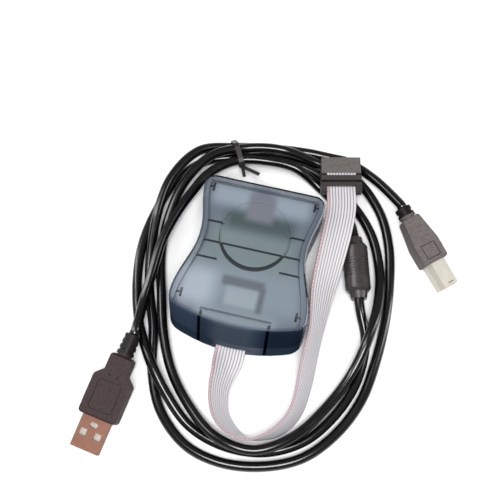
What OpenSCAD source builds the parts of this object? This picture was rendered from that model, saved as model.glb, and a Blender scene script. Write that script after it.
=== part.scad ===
// USB microcontroller programmer: a waisted snap-together casing with its circuit board,
// a ten-way ribbon lead and a loose USB lead coiled round it.
// Millimetres. The origin is under the middle of the casing, +Y is its rear (USB socket) end.

/* [Casing] */
// Width over the front end of the casing
front_w = 57; // [55:0.5:57.5]
// Width over the rear end
rear_w = 51.5; // [51:0.5:54]
// Width at the waist
waist_w = 45; // [45:0.5:48]
// Length from the rear wall to the front of the bow
case_l = 68.3; // [68:0.1:71]
// Height of the closed casing
case_h = 22; // [21.6:0.1:25]
// How far the front bows out past its corners
front_bow = 6.2; // [5:0.1:7.5]
// How far the front wall leans back over its height
nose_lean = 5.5; // [0:0.1:6]
// Place of the waist along the casing
waist_y = 9; // [6:0.1:12]
// Wall thickness of both shells
wall = 2; // [1.6:0.1:2.2]
// Height of the parting line
part_z = 8; // [7:0.1:9]
// Rounding of the top edge
top_round = 1; // [0.8:0.1:2]
// Depth of the ribs under the top
rib_depth = 4; // [2:0.1:4.4]
// Radius of the ring under the top
ring_r = 14.5; // [13.5:0.1:15]

/* [Board] */
// Width of the circuit board
board_w = 40; // [38:0.5:40]
// Length of the circuit board
board_l = 53.5; // [53:0.5:54.5]
// Thickness of the circuit board
board_t = 1.6; // [1:0.1:2]
// Height of the posts under the board
post_h = 3; // [2.5:0.1:3.2]

/* [Ribbon lead] */
// Number of wires in the ribbon
ways = 10; // [10:2:10]
// Pitch of the wires
wire_pitch = 1.27; // [1.27]
// Thickness of the ribbon
ribbon_t = 0.9; // [0.7:0.1:1]
// Length of the ten-way socket along its pins
socket_w = 16.9; // [16.6:0.1:17.3]
// Thickness of the ten-way socket
socket_t = 6; // [5.8:0.1:6.1]

/* [USB lead] */
// Diameter of the round lead
lead_d = 4.2; // [3.8:0.1:4.3]
// Diameter of the noise filter sleeve
filter_d = 10.8; // [10:0.1:11]
// Width of the flat plug's metal shell
flat_w = 12; // [11.8:0.1:12.2]
// Thickness of the flat plug's metal shell
flat_t = 4.5; // [4.4:0.1:4.6]
// Width of the square plug's metal shell
square_w = 8.45; // [8.2:0.05:8.5]
// Height of the square plug's metal shell
square_h = 7.78; // [7.5:0.02:7.8]

/* [Hidden] */
$fn = 24;
EPS = 0.4;

// Fits
lip_gap = 0.12;
board_gap = 0.25;
socket_gap = 0.25;
hole_gap = 0.15;

// Casing outline: rear corner arc, waisted side, front corner arc, bowed front arc
rear_r = 4.6;
front_r = 7;
front_half = front_w / 2;
rear_half = rear_w / 2;
half_l = case_l / 2;
bow_r = (pow(front_half, 2) + pow(front_bow, 2)) / (2 * front_bow);
bow_y = bow_r - half_l;
front_cx = front_half - front_r;
front_cy = bow_y - sqrt(pow(bow_r - front_r, 2) - pow(front_cx, 2));
front_turn = atan2(front_cy - bow_y, front_cx);
rear_cy = half_l - rear_r;
arc_steps = 5;
side_steps = 14;

function waist_share(y) = y > waist_y ? (y - waist_y) / (rear_cy - waist_y)
    : (waist_y - y) / (waist_y - front_cy);
function side_x(y) = let (end_w = y > waist_y ? rear_w : front_w)
    (waist_w + (end_w - waist_w) * (1 - cos(180 * waist_share(y))) / 2) / 2;
function unit(v) = v / norm(v);
function side_slope(y) = (side_x(y + 0.05) - side_x(y - 0.05)) / 0.1;

// Each station holds a point of the right half and its outward normal, front to rear
half_outline = concat(
    [for (k = [0.5 : arc_steps]) let (a = -90 + k * (front_turn + 90) / arc_steps)
        [[bow_r * cos(a), bow_y + bow_r * sin(a)], [cos(a), sin(a)]]],
    [for (k = [0 : arc_steps]) let (a = front_turn * (1 - k / arc_steps))
        [[front_cx + front_r * cos(a), front_cy + front_r * sin(a)], [cos(a), sin(a)]]],
    [for (k = [1 : side_steps - 1]) let (y = front_cy + (rear_cy - front_cy) * k / side_steps)
        [[side_x(y), y], unit([1, -side_slope(y)])]],
    [for (k = [0 : arc_steps]) let (a = 90 * k / arc_steps)
        [[rear_half - rear_r + rear_r * cos(a), rear_cy + rear_r * sin(a)], [cos(a), sin(a)]]]);
half_n = len(half_outline);
ring_n = 2 * half_n;

// The nose leans back in step with height, and the more the nearer a point lies to the front
lean_from = 4;
bottom_round = 1.4;
function lean_share(z) = max(z - bottom_round, 0) / (case_h - bottom_round);
function lean(y, z) = y < lean_from ? nose_lean * lean_share(z) * (lean_from - y) / (lean_from + half_l) : 0;
function right_point(k, inset, z) = let (p = half_outline[k][0] - inset * half_outline[k][1])
    [p.x, p.y + lean(p.y, z), z];
function ring(inset, z) = concat(
    [for (k = [0 : half_n - 1]) right_point(k, inset, z)],
    [for (k = [half_n - 1 : -1 : 0]) let (p = right_point(k, inset, z)) [-p.x, p.y, z]]);
function flip_face(f, turned) = turned ? [f[2], f[1], f[0]] : f;
function split(a, b, c, d) = [[a, b, c], [a, c, d]];

// Heights inside the casing
floor_z = wall;
ceiling_z = case_h - wall;
lip_h = 2;
lip_in = wall * 0.6;
board_z = floor_z + post_h;
board_top = board_z + board_t;
board_rear = half_l - wall - 1;
board_front = board_rear - board_l;
function fillet(r, z, up) = [for (a = [0 : 22.5 : 90]) [r * (1 - sin(a)), z + up * r * (cos(a) - 1)]];

// Ribs, posts and the pocket under the top
rib_t = 0.9;
rib_rows = [14.3, 5.6, -1.6];
short_rib_x = ring_r - 1.4;
ring_y = rib_rows[1] + 6.6;
ring_low_depth = 4.8;
ring_high_depth = 0.8;
tee_bar = 4;
tee_t = 1;
tee_spots = [[21.6, 29.4], [23.9, -18.3]];
tee_foot_z = floor_z + 2;
pocket_x = 14.1;
pocket_y = -23.1;
pocket_t = 1.2;
pocket_z = part_z + lip_h + 0.6;
pocket_wall_h = 3.2;
post_x = 16;
post_inset = 5.2;
post_rows = [board_front + post_inset, board_rear - post_inset];
post_d = 5;
peg_d = 2.6;

// Slot for the ribbon in the front wall
slot_w = socket_w + 0.9;
slot_top = floor_z + 2.6;

// Square USB socket on the rear of the board
can_w = 12;
can_l = 16;
can_h = 10.8;
can_y = half_l - 0.2;
can_wall = 0.5;
can_z = board_top + can_h / 2;
mouth_w = square_w + 0.45;
mouth_h = square_h + 0.42;
mouth_deep = 12;
tongue_w = 5.6;
tongue_h = 3.2;
tongue_l = 8.8;
tongue_tip = 1.5;
contact_t = 0.25;
contact_w = 1;
contact_x = [-1.25, 1.25];
mouth_cut = 1.9;

// Ten-way header and its socket
pin_pitch = 2.54;
pin_t = 0.64;
pin_hole = pin_t + 2 * hole_gap;
hole_web = 0.5;
header_y = -9.5;
header_w = 20.2;
header_l = 8.8;
header_floor = 2.4;
key_w = 4.4;
cover_h = 2.6;
cover_gap = 1;
seat_gap = 0.1;
seat_z = board_top + header_floor + seat_gap;
crimp_z = ceiling_z - cover_gap - cover_h - ribbon_t;
body_h = crimp_z - seat_z;
pin_l = body_h - 2 * hole_web;
header_top = crimp_z - cover_gap;

// Ribbon
ribbon_w = ways * wire_pitch;
outer_body_l = 7.4;
outer_cover_l = 2.2;
outer_contact_l = 4.5;
contact_in = 1.9;
leaf_t = 0.2;
outer_at = [29.4, 50.5];
outer_turn = 12.9;
outer_rest = 1;
outer_z = lead_d + outer_rest + ribbon_t + socket_t / 2;
clip_t = 1.3;
clip_gap = 1.1;
clip_h = socket_t - 1;
clip_arm = 0.4;
clip_arm_h = 3;
clip_reach = 2;
clip_ear = 2.8;
ear_w = 2.4;

function turned(p, a) = [p.x * cos(a) - p.y * sin(a), p.x * sin(a) + p.y * cos(a)];
function outer_point(x, y) = outer_at + turned([x, y], outer_turn);
fold_y = -ribbon_t / 2 - outer_cover_l;
exit_y = fold_y - ribbon_t;
fold_w = ribbon_w - 0.1;
fold_z = -socket_t / 2 - ribbon_t;
wire_end = 0.3;

// Middle of the ribbon and its roll, from the inner socket to the outer one.
// Roll 0 is flat with the first wire on the left, 90 stands on edge, 180 is turned over.
crimp_mid = crimp_z + ribbon_t / 2;
slot_mid = (floor_z + slot_top) / 2;
function drop(share) = crimp_mid + (slot_mid - crimp_mid) * share;
ribbon_route = [
    [0, header_y + socket_t / 2 - seat_gap, crimp_mid, 0], [0, header_y - socket_t / 2, crimp_mid, 0],
    [0, header_y - header_l / 2 - 1, crimp_mid, 0], [0, -17.6, drop(0.13), 0], [0, -20.6, drop(0.36), 0],
    [0, -23.6, drop(0.63), 0], [0, -26.6, drop(0.86), 0], [0, -30, drop(0.98), 0],
    [0, -34.5, slot_mid, 0], [0, -39, 3.6, 14], [-0.4, -44.5, 4.2, 38], [-0.6, -49.8, 4.7, 48],
    [0.5, -56.1, 5.3, 53], [2.9, -61.4, 5.8, 57], [7.2, -65.4, 6.2, 64], [11.4, -67.5, 6.5, 73],
    [16.4, -67.9, 6.7, 83], [21.7, -65.7, 6.8, 94], [26.6, -62, 6.8, 105], [30.1, -57.2, 6.8, 111],
    [32.2, -51.2, 6.8, 116], [32.8, -43.9, 6.8, 120], [32.8, -36.1, 6.8, 123], [32.8, -27.4, 6.9, 121],
    [33, -18.6, 7.2, 121], [32.6, -10, 7.9, 132], [32.2, -1.4, 9.2, 144], [32.4, 7.1, 10.8, 154],
    [32.6, 15.8, 12.2, 163], [32.8, 23.9, 12.8, 170], [32.8, 31.3, 12.3, 173], [32.3, 37.2, 11, 176],
    concat(outer_point(0, exit_y - clip_t - 3), outer_z + 0.3, 180),
    concat(outer_point(0, exit_y - clip_t), outer_z, 180),
    concat(outer_point(0, exit_y + EPS), outer_z, 180)];

// USB lead, from the flat plug to the square one: one inner turn through the filter, two more, and out
low = lead_d / 2;
filter_z = filter_d / 2;
filter_l = 27;
filter_a = [40.9, 23.7];
filter_b = [47.4, 0.6];
filter_dir = unit(concat(filter_b - filter_a, 0));
filter_mid = concat((filter_a + filter_b) / 2, filter_z);
filter_tail = 2;
function filter_point(d) = filter_mid + filter_dir * d;

// Plugs lie tipped forward on the lip of the grip and the end of the shell
flat_grip_t = 8;
flat_out = 13.4;
flat_tip = atan2((flat_grip_t - flat_t) / 2, flat_out);
flat_at = [-45.6, -73.5, flat_grip_t / 2 * cos(flat_tip)];
flat_turn = -9.1;
flat_grip_l = 27;
flat_relief = 9.4;
square_grip_h = 10.4;
square_out = 11.8;
square_tip = atan2((square_grip_h - square_h) / 2, square_out);
square_at = [75.9, 22.2, square_grip_h / 2 * cos(square_tip)];
square_turn = 41.4;
square_grip_l = 21.7;
square_relief = 5.3;

function behind(at, turn, tip, d) = at + d * [-sin(turn) * cos(tip), cos(turn) * cos(tip), sin(tip)];
flat_end = flat_grip_l + flat_relief;
square_end = square_grip_l + square_relief;

// How much of the lead a strain relief holds
hold = 3;

lead_route = concat(
    [behind(flat_at, flat_turn, flat_tip, flat_end - hold), behind(flat_at, flat_turn, flat_tip, flat_end),
    behind(flat_at, flat_turn, flat_tip, flat_end + hold)],
    [[-39.8, -21.6, 7.5], [-39.4, -9, 8], [-39, 3.8, 8.5], [-36.4, 16.4, 8.8], [-32.2, 28.6, 8.5],
    [-26.8, 39.6, 8.4], [-16.8, 48.6, 6.7], [-4.8, 51.4, 6.7], [9.4, 51, 6.7], [22, 45.6, 2.5],
    [32.4, 37.4, 3.6]],
    [filter_point(-filter_l / 2 - filter_tail), filter_point(filter_l / 2 + filter_tail)],
    [[54, -17, low], [53.8, -34, low], [48.2, -49.4, low], [38, -63, low], [23.4, -71, 2.3],
    [6.8, -72.4, 2.2], [-9, -67.8, 2.6], [-21.6, -57.2, 5.4], [-32, -44.4, 7.3], [-40.4, -30.2, 2.2],
    [-45.6, -14, 2.5], [-47.8, 3, 2.2], [-46, 19.2, 2.2], [-41, 35.2, 2.3], [-30, 47.4, 2.4],
    [-14.2, 52.2, 3], [2.4, 55.2, 2.7], [20.8, 51.6, 2.3], [35.2, 42.8, 2.3], [47, 30.2, 2.9],
    [53.8, 14.8, 3.5], [55.8, -1.4, 7.4], [54.4, -18.2, 8.7], [50.4, -34, 5.3], [42.8, -49.6, 4.6],
    [33, -63.2, 7], [18.8, -72, 7.7], [2.8, -70.2, 7.2], [-10.2, -60.8, 4], [-21.2, -48.2, 3.7],
    [-28.8, -33.2, 3.7], [-34, -16.8, 3.4], [-38.6, 0.2, 3], [-39.4, 16.8, 5.1], [-36.4, 33.4, 7.4],
    [-27.6, 48, 8.4], [-13, 55.6, 7.1], [2.6, 58, 7.1], [19.6, 56.8, 2.9], [35.6, 53.4, 3],
    [48.8, 41.2, 2.6], [56, 26.2, 2.3], [59.4, 9.4, 2.2], [60.6, -8, low], [59.8, -25.8, 2.2],
    [57, -42.2, 2.2], [49.8, -57.4, low], [38.4, -70, 2.2], [22.8, -77, low], [6, -79, low],
    [-9.4, -75.2, low], [-22.2, -64.2, low], [-29.6, -49, low], [-33.6, -32.2, low], [-39.6, -16, 2.9],
    [-43.2, 0.6, 3.9], [-44.4, 17.4, 6.8], [-42.4, 34.4, 8.1], [-33.8, 49.4, 7.3], [-19.2, 56.4, 3],
    [-4.2, 59.4, 2.8], [12, 61.2, 2.4], [29, 61.4, 2.2], [43.6, 54.8, 4.6]],
    [behind(square_at, square_turn, square_tip, square_end + hold),
    behind(square_at, square_turn, square_tip, square_end),
    behind(square_at, square_turn, square_tip, square_end - hold)]);

// Rings of a swept section: left is level, rise completes the frame
function way(route, k) = let (p = route[max(k - 1, 0)], q = route[min(k + 1, len(route) - 1)])
    unit([q.x - p.x, q.y - p.y, q.z - p.z]);
function left_of(t) = unit(cross([0, 0, 1], t));
function round_ring(c, t, r, n) = let (l = left_of(t), u = cross(t, l))
    [for (j = [0 : n - 1]) c + r * (cos(360 * j / n) * l + sin(360 * j / n) * u)];
function flat_ring(c, t, w, h, roll) = let (l = left_of(t), u = cross(t, l),
    across = cos(roll) * l - sin(roll) * u, thick = cos(roll) * u + sin(roll) * l)
    [for (s = [[1, 1], [-1, 1], [-1, -1], [1, -1]]) c + s[0] * w / 2 * across + s[1] * h / 2 * thick];
function middle(s) = [s[0], s[1], s[2]];

module sweep(rings) {
    n = len(rings[0]);
    last = len(rings) - 1;
    sides = [for (k = [0 : last - 1], j = [0 : n - 1]) let (i = (j + 1) % n)
        each split(k * n + j, (k + 1) * n + j, (k + 1) * n + i, k * n + i)];
    ends = concat([[for (j = [0 : n - 1]) j]], [[for (j = [n - 1 : -1 : 0]) last * n + j]]);
    polyhedron([for (r = rings) each r], concat(sides, ends), convexity = 10);
}

// A closed moulding through [inset, height] stations, from its outer face round to its inner face
module moulding(stations) {
    turned = stations[0][1] < stations[len(stations) - 1][1];
    last = len(stations) - 1;
    sides = [for (k = [0 : last - 1], j = [0 : ring_n - 1]) let (i = (j + 1) % ring_n)
        each split(k * ring_n + j, k * ring_n + i, (k + 1) * ring_n + i, (k + 1) * ring_n + j)];
    outer = [for (i = [0 : half_n - 2]) each split(ring_n - 1 - i, ring_n - 2 - i, i + 1, i)];
    base = last * ring_n;
    inner = [for (i = [0 : half_n - 2])
        each split(base + i, base + i + 1, base + ring_n - 2 - i, base + ring_n - 1 - i)];
    polyhedron([for (s = stations) each ring(s[0], s[1])],
        [for (f = concat(sides, outer, inner)) flip_face(f, turned)], convexity = 6);
}

module block(size, at) {
    translate([at.x - size.x / 2, at.y - size.y / 2, at.z]) cube(size);
}

module mirrored() {
    children();
    mirror([1, 0, 0]) children();
}

// Opening round the square socket, shared by both shells
module can_opening() {
    block([can_w + 2 * board_gap, 3 * wall, can_h + 2 * board_gap], [0, half_l, board_top - board_gap]);
}

module bottom_shell() {
    in_z = part_z + lip_h;
    color("#35506e") difference() {
        union() {
            moulding(concat([for (s = fillet(bottom_round, 0, -1)) s],
                [[0, part_z], [lip_in, part_z], [lip_in, in_z], [wall, in_z],
                [wall, floor_z + 1], [wall + 1, floor_z]]));
            for (y = post_rows) mirrored() translate([post_x, y, floor_z - EPS]) {
                cylinder(d = post_d, h = post_h + EPS);
                cylinder(d = peg_d, h = post_h + EPS + board_t + 1);
            }
        }
        translate([-slot_w / 2, -half_l - wall, floor_z]) cube([slot_w, 3 * wall, slot_top - floor_z]);
        can_opening();
    }
}

module tee_post(spot) {
    block([tee_t, tee_bar, ceiling_z - tee_foot_z + EPS], [spot.x, spot.y, tee_foot_z]);
    stem_z = part_z + lip_h + 1;
    translate([spot.x, spot.y - tee_t / 2, stem_z])
        cube([front_half - spot.x, tee_t, ceiling_z - stem_z + EPS]);
}

module ring_rib(depth) {
    translate([0, ring_y, ceiling_z - depth]) difference() {
        cylinder(r = ring_r + rib_t / 2, h = depth + EPS, $fn = 48);
        translate([0, 0, -EPS]) cylinder(r = ring_r - rib_t / 2, h = depth + 3 * EPS, $fn = 48);
    }
}

// All ribs run on into the walls and are trimmed to the inside of the shell
module top_ribs() {
    rib_z = ceiling_z - rib_depth;
    block([front_w, rib_t, rib_depth + EPS], [0, rib_rows[1], rib_z]);
    for (y = [rib_rows[0], rib_rows[2]]) mirrored() translate([short_rib_x, y - rib_t / 2, rib_z])
        cube([front_half - short_rib_x, rib_t, rib_depth + EPS]);
    for (spot = tee_spots) mirrored() tee_post(spot);
    ring_rib(ring_high_depth);
    intersection() {
        ring_rib(ring_low_depth);
        translate([-front_half, rib_rows[1] - half_l, 0]) cube([front_w, half_l, case_h]);
    }
    block([2 * pocket_x + pocket_t, pocket_t, pocket_wall_h + EPS], [0, pocket_y, ceiling_z - pocket_wall_h]);
    mirrored() translate([pocket_x - pocket_t / 2, -half_l, pocket_z])
        cube([pocket_t, half_l + pocket_y, ceiling_z - pocket_z + EPS]);
}

module top_shell() {
    rebate_in = lip_in - lip_gap;
    rebate_z = part_z + lip_h + lip_gap;
    color("#4a6684") difference() {
        union() {
            moulding(concat([for (s = fillet(top_round, case_h, 1)) s],
                [[0, part_z], [rebate_in, part_z], [rebate_in, rebate_z], [wall, rebate_z],
                [wall, ceiling_z - 1.2], [wall + 1.2, ceiling_z]]));
            intersection() {
                top_ribs();
                moulding([[wall - EPS, ceiling_z + EPS], [wall - EPS, 0]]);
            }
        }
        can_opening();
    }
}

module circuit_board() {
    color("#2e6b45") difference() {
        translate([-board_w / 2, board_front, board_z]) cube([board_w, board_l, board_t]);
        for (y = post_rows) mirrored() translate([post_x, y, board_z - EPS])
            cylinder(d = peg_d + 2 * hole_gap, h = board_t + 2 * EPS);
    }
}

// Outline of the square plug: two corners of the upper edge are cut off
module square_outline(w, h, cut) {
    polygon([[-w / 2, -h / 2], [w / 2, -h / 2], [w / 2, h / 2 - cut], [w / 2 - cut, h / 2],
        [cut - w / 2, h / 2], [-w / 2, h / 2 - cut]]);
}

module square_bar(w, h, cut, y0, y1) {
    translate([0, y1, 0]) rotate([90, 0, 0]) linear_extrude(y1 - y0) square_outline(w, h, cut);
}

module usb_socket_can() {
    color("#c9ccd0") difference() {
        block([can_w, can_l, can_h], [0, can_y - can_l / 2, board_top]);
        translate([0, 0, can_z]) square_bar(mouth_w, mouth_h, mouth_cut, can_y - mouth_deep, can_y + 1);
        block([can_w - 2 * can_wall, can_l - mouth_deep - can_wall + EPS, can_h - 2 * can_wall],
            [0, can_y - (can_l + mouth_deep - can_wall) / 2, board_top + can_wall]);
    }
}

module usb_socket_tongue() {
    back_l = can_l - mouth_deep - can_wall;
    color("white") {
        block([can_w - 2 * can_wall, back_l, can_h - 2 * can_wall],
            [0, can_y - mouth_deep - back_l / 2, board_top + can_wall]);
        block([tongue_w, tongue_l + EPS, tongue_h],
            [0, can_y - mouth_deep + (tongue_l - EPS) / 2, can_z - tongue_h / 2]);
    }
}

module usb_socket_contacts() {
    contact_l = tongue_l - tongue_tip;
    color("goldenrod") for (x = contact_x, z = [tongue_h / 2, -tongue_h / 2 - contact_t])
        block([contact_w, contact_l, contact_t], [x, can_y - mouth_deep + contact_l / 2, can_z + z]);
}

module box_header() {
    color("#1b1b1d") difference() {
        block([header_w, header_l, header_top - board_top], [0, header_y, board_top]);
        block([socket_w + 2 * socket_gap, socket_t + 2 * socket_gap, case_h],
            [0, header_y, board_top + header_floor]);
        block([key_w, header_l, case_h], [0, header_y + header_l / 2, board_top + header_floor]);
    }
}

module pin_rows(columns = ways / 2) {
    for (k = [0 : columns - 1], s = [-1, 1])
        translate([(k - (columns - 1) / 2) * pin_pitch, s * pin_pitch / 2, 0]) children();
}

module header_pins() {
    color("goldenrod") translate([0, header_y, board_top + header_floor])
        pin_rows() block([pin_t, pin_t, pin_l], [0, 0, 0]);
}

// Body of a ten-way socket, mating face at z = 0
module socket_body(w, t, h) {
    difference() {
        block([w, t, h], [0, 0, 0]);
        translate([0, 0, -EPS]) pin_rows() block([pin_hole, pin_hole, h - hole_web + EPS], [0, 0, 0]);
    }
}

module socket_cover(w, t, h) {
    groove = 0.5;
    end = 2;
    difference() {
        block([w, t, h], [0, 0, 0]);
        for (s = [-1, 1]) block([w - 2 * end, groove, h / 3], [0, s * t / 2, h / 2]);
    }
}

module inner_socket_body() {
    color("#202124") translate([0, header_y, seat_z]) socket_body(socket_w, socket_t, body_h);
}

module inner_socket_cover() {
    color("#2a2b2e") translate([0, header_y, crimp_z + ribbon_t]) socket_cover(socket_w, socket_t, cover_h);
}

// Parts on the board
chip_w = 7;
chip_h = 1.4;
chip_at = [0, 8];
stand_off = 0.1;
mark_d = 0.8;
mark_in = 1.1;
lead_pitch = 0.8;
lead_size = [0.35, 1, 0.5];
leads_a_side = 8;
crystal_at = [-12, 9];
crystal_w = 4.6;
crystal_l = 6.6;
crystal_h = 3.6;
regulator_at = [12.5, 13.5];
regulator_size = [6.5, 3.5, 1.6];
regulator_tab = [3, 7, 0.4];
reservoir_at = [13, 2.5];
reservoir_foot = [5.3, 5.3, 0.9];
reservoir_d = 5;
reservoir_h = 5.4;
small_size = [2, 1.25, 0.8];
small_pitch = 4;
small_count = 5;
capacitor_y = 0.5;
resistor_y = -3.5;
led_at = [-14.5, -10];

module on_board(at) {
    translate([at.x, at.y, board_top]) children();
}

module controller_chip() {
    color("#151617") on_board(chip_at) difference() {
        block([chip_w, chip_w, chip_h], [0, 0, stand_off]);
        translate([mark_in - chip_w / 2, chip_w / 2 - mark_in, chip_h]) cylinder(d = mark_d, h = 1);
    }
}

module chip_leads() {
    color("silver") on_board(chip_at) for (a = [0 : 90 : 270], k = [0 : leads_a_side - 1]) rotate([0, 0, a])
        block(lead_size, [(k - (leads_a_side - 1) / 2) * lead_pitch, (chip_w + lead_size.y) / 2, 0]);
}

module crystal() {
    color("#d2d4d8") on_board(crystal_at) linear_extrude(crystal_h) {
        square([crystal_w, crystal_l], center = true);
        for (s = [-1, 1]) translate([0, s * crystal_l / 2]) circle(d = crystal_w);
    }
}

module regulator() {
    color("#18191b") on_board(regulator_at) {
        block(regulator_size, [0, 0, stand_off]);
        block(regulator_tab, [0, 0, 0]);
    }
}

module reservoir_capacitor() {
    color("#b9bcc2") on_board(reservoir_at) {
        block(reservoir_foot, [0, 0, 0]);
        cylinder(d = reservoir_d, h = reservoir_h);
    }
}

module small_row(y) {
    for (k = [0 : small_count - 1])
        block(small_size, [(k - (small_count - 1) / 2) * small_pitch, y, board_top]);
}

module chip_capacitors() {
    color("#b08d5a") small_row(capacitor_y);
}

module chip_resistors() {
    color("#222326") small_row(resistor_y);
}

module status_leds() {
    color("#7ad07a") on_board(led_at) for (k = [0, 1]) block(small_size, [0, k * small_pitch, 0]);
}

// Ribbon with its end folded round the cover of the outer socket
module ribbon_lead() {
    last = len(ribbon_route) - 1;
    color("#c9c6cc") union() {
        sweep([for (k = [0 : last]) flat_ring(middle(ribbon_route[k]), way(ribbon_route, k), ribbon_w,
            ribbon_t, ribbon_route[k][3])]);
        at_outer() {
            block([fold_w, ribbon_t, socket_t + ribbon_t + wire_end], [0, 0, fold_z]);
            translate([-fold_w / 2, exit_y, fold_z]) cube([fold_w, -exit_y + ribbon_t / 2, ribbon_t]);
            translate([-fold_w / 2, exit_y, fold_z]) cube([fold_w, ribbon_t, (socket_t + 3 * ribbon_t) / 2]);
        }
    }
}

module at_outer() {
    translate([outer_at.x, outer_at.y, outer_z]) rotate([0, 0, outer_turn]) children();
}

module outer_socket_body() {
    color("#2b2c30") at_outer() translate([0, outer_body_l + ribbon_t / 2, 0]) rotate([90, 0, 0])
        socket_body(socket_w, socket_t, outer_body_l);
}

module outer_socket_cover() {
    color("#34353a") at_outer() translate([0, -ribbon_t / 2, 0]) rotate([90, 0, 0])
        socket_cover(socket_w, socket_t, outer_cover_l);
}

module outer_socket_clip() {
    arm_l = -exit_y + clip_t + clip_reach;
    full_w = socket_w + 2 * clip_arm;
    color("#3a3b40") at_outer() union() {
        difference() {
            block([full_w, clip_t, clip_h], [0, exit_y - clip_t / 2, -clip_h / 2]);
            block([ribbon_w + 2 * socket_gap, 3 * clip_t, clip_gap], [0, exit_y, -clip_gap / 2]);
        }
        mirrored() {
            translate([socket_w / 2, exit_y - clip_t, -clip_arm_h / 2]) cube([clip_arm, arm_l, clip_arm_h]);
            translate([full_w / 2 - ear_w, exit_y - clip_t - clip_ear, -clip_h / 2])
                cube([ear_w, clip_ear + EPS, clip_h]);
        }
    }
}

module outer_socket_contacts() {
    color("goldenrod") at_outer() translate([0, outer_body_l + ribbon_t / 2, 0]) rotate([90, 0, 0])
        pin_rows() block([pin_t, leaf_t, outer_contact_l], [0, (pin_hole - leaf_t) / 2, contact_in]);
}

// Flat plug: origin on the front of the grip, shell towards -Y
module at_flat() {
    translate(flat_at) rotate([0, 0, flat_turn]) rotate([flat_tip, 0, 0]) children();
}

flat_wall = 0.35;
flat_window = [3, 3];
window_x = 3.2;
window_in = 5;
flat_hole_y = -3;
flat_hole = [1.4, 2.2];
flat_hidden = 4;
flat_tongue_t = 1.9;
flat_tongue_in = 0.6;
flat_contact_x = [-3.5, -1, 1, 3.5];
flat_contact_l = 3.6;

module flat_plug_shell() {
    color("#a87a62") at_flat() difference() {
        block([flat_w, flat_out + flat_hidden, flat_t], [0, (flat_hidden - flat_out) / 2, -flat_t / 2]);
        block([flat_w - 2 * flat_wall, 2 * (flat_out + flat_hidden), flat_t - 2 * flat_wall],
            [0, 0, flat_wall - flat_t / 2]);
        mirrored() translate([window_x - flat_window.x / 2, window_in - flat_out, -flat_t])
            cube([flat_window.x, flat_window.y, 2 * flat_t]);
        translate([0, flat_hole_y, 0]) linear_extrude(flat_t) {
            square(flat_hole, center = true);
            for (s = [-1, 1]) translate([s * flat_hole.x / 2, 0]) circle(d = flat_hole.y);
        }
    }
}

module flat_plug_tongue() {
    inner_w = flat_w - 2 * flat_wall;
    color("white") at_flat() translate([-inner_w / 2, flat_tongue_in - flat_out, flat_wall - flat_t / 2])
        cube([inner_w, flat_out + flat_hidden - flat_tongue_in, flat_tongue_t]);
}

module flat_plug_contacts() {
    middle_y = 2 * flat_tongue_in + flat_contact_l / 2 - flat_out;
    color("goldenrod") at_flat() for (x = flat_contact_x) block([contact_w, flat_contact_l, contact_t],
        [x, middle_y, flat_wall - flat_t / 2 + flat_tongue_t]);
}

flat_grip_w = 16.4;
flat_neck_w = 9.6;
flat_wide_l = 16.5;
flat_shoulder = 19.7;
plan_round = 1.6;
edge_round = 1.2;
mark_groove = 0.35;
mark_line = 0.3;
flat_mark = [7.4, 9.6];
flat_mark_y = 9.2;
flat_mark_round = 1.5;
dimple_at = [1.7, 17.9];
dimple_d = 1.1;

// Thin sunk outline of a rounded rectangle, cut down from z = 0
module sunk_outline(size, round) {
    translate([0, 0, -mark_groove]) linear_extrude(2 * mark_groove) difference() {
        offset(r = round) square(size, center = true);
        offset(r = round - mark_line) square(size, center = true);
    }
}

module flat_grip_plan() {
    offset(r = plan_round) offset(delta = -plan_round) polygon([[-flat_grip_w / 2, 0], [flat_grip_w / 2, 0],
        [flat_grip_w / 2, flat_wide_l], [flat_neck_w / 2, flat_shoulder], [flat_neck_w / 2, flat_grip_l],
        [-flat_neck_w / 2, flat_grip_l], [-flat_neck_w / 2, flat_shoulder], [-flat_grip_w / 2, flat_wide_l]]);
}

// Ribbed strain relief round the lead, along +Y from the end of a grip, its rings narrowing to the end
ring_share = 0.6;
relief_wall = 1;
flat_relief_ribs = 4;
flat_relief_d = [7.4, 6.2];
square_relief_ribs = 2;
square_relief_d = [7.6, 6.8];

module strain_relief(length, ribs, d) {
    pitch = length / ribs;
    function ring_d(k) = d[0] + (d[1] - d[0]) * k / ribs;
    rotate([-90, 0, 0]) {
        cylinder(d = min(d[1], lead_d + 2 * relief_wall), h = length);
        for (k = [0 : ribs - 1]) translate([0, 0, (k + 1 - ring_share) * pitch])
            cylinder(d1 = ring_d(k), d2 = ring_d(k + ring_share), h = pitch * ring_share);
    }
}

module lead_hole(from, to) {
    translate([0, from, 0]) rotate([-90, 0, 0]) cylinder(d = lead_d + 2 * hole_gap, h = to - from);
}

module flat_plug_grip() {
    color("#4b4444") at_flat() difference() {
        union() {
            intersection() {
                translate([0, 0, -flat_grip_t / 2]) linear_extrude(flat_grip_t) flat_grip_plan();
                rotate([90, 0, 90]) translate([0, 0, -flat_grip_w]) linear_extrude(2 * flat_grip_w)
                    offset(r = edge_round) offset(delta = -edge_round)
                    translate([0, -flat_grip_t / 2]) square([flat_grip_l, flat_grip_t]);
            }
            translate([0, flat_grip_l - EPS, 0])
                strain_relief(flat_relief + EPS, flat_relief_ribs, flat_relief_d);
        }
        block([flat_w, 2 * flat_hidden, flat_t], [0, 0, -flat_t / 2]);
        lead_hole(flat_end - hold, flat_end + 1);
        translate([0, flat_mark_y, flat_grip_t / 2]) sunk_outline(flat_mark, flat_mark_round);
        mirrored() translate([dimple_at.x, dimple_at.y, flat_grip_t / 2 - mark_groove])
            cylinder(d = dimple_d, h = 1);
    }
}

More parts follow.
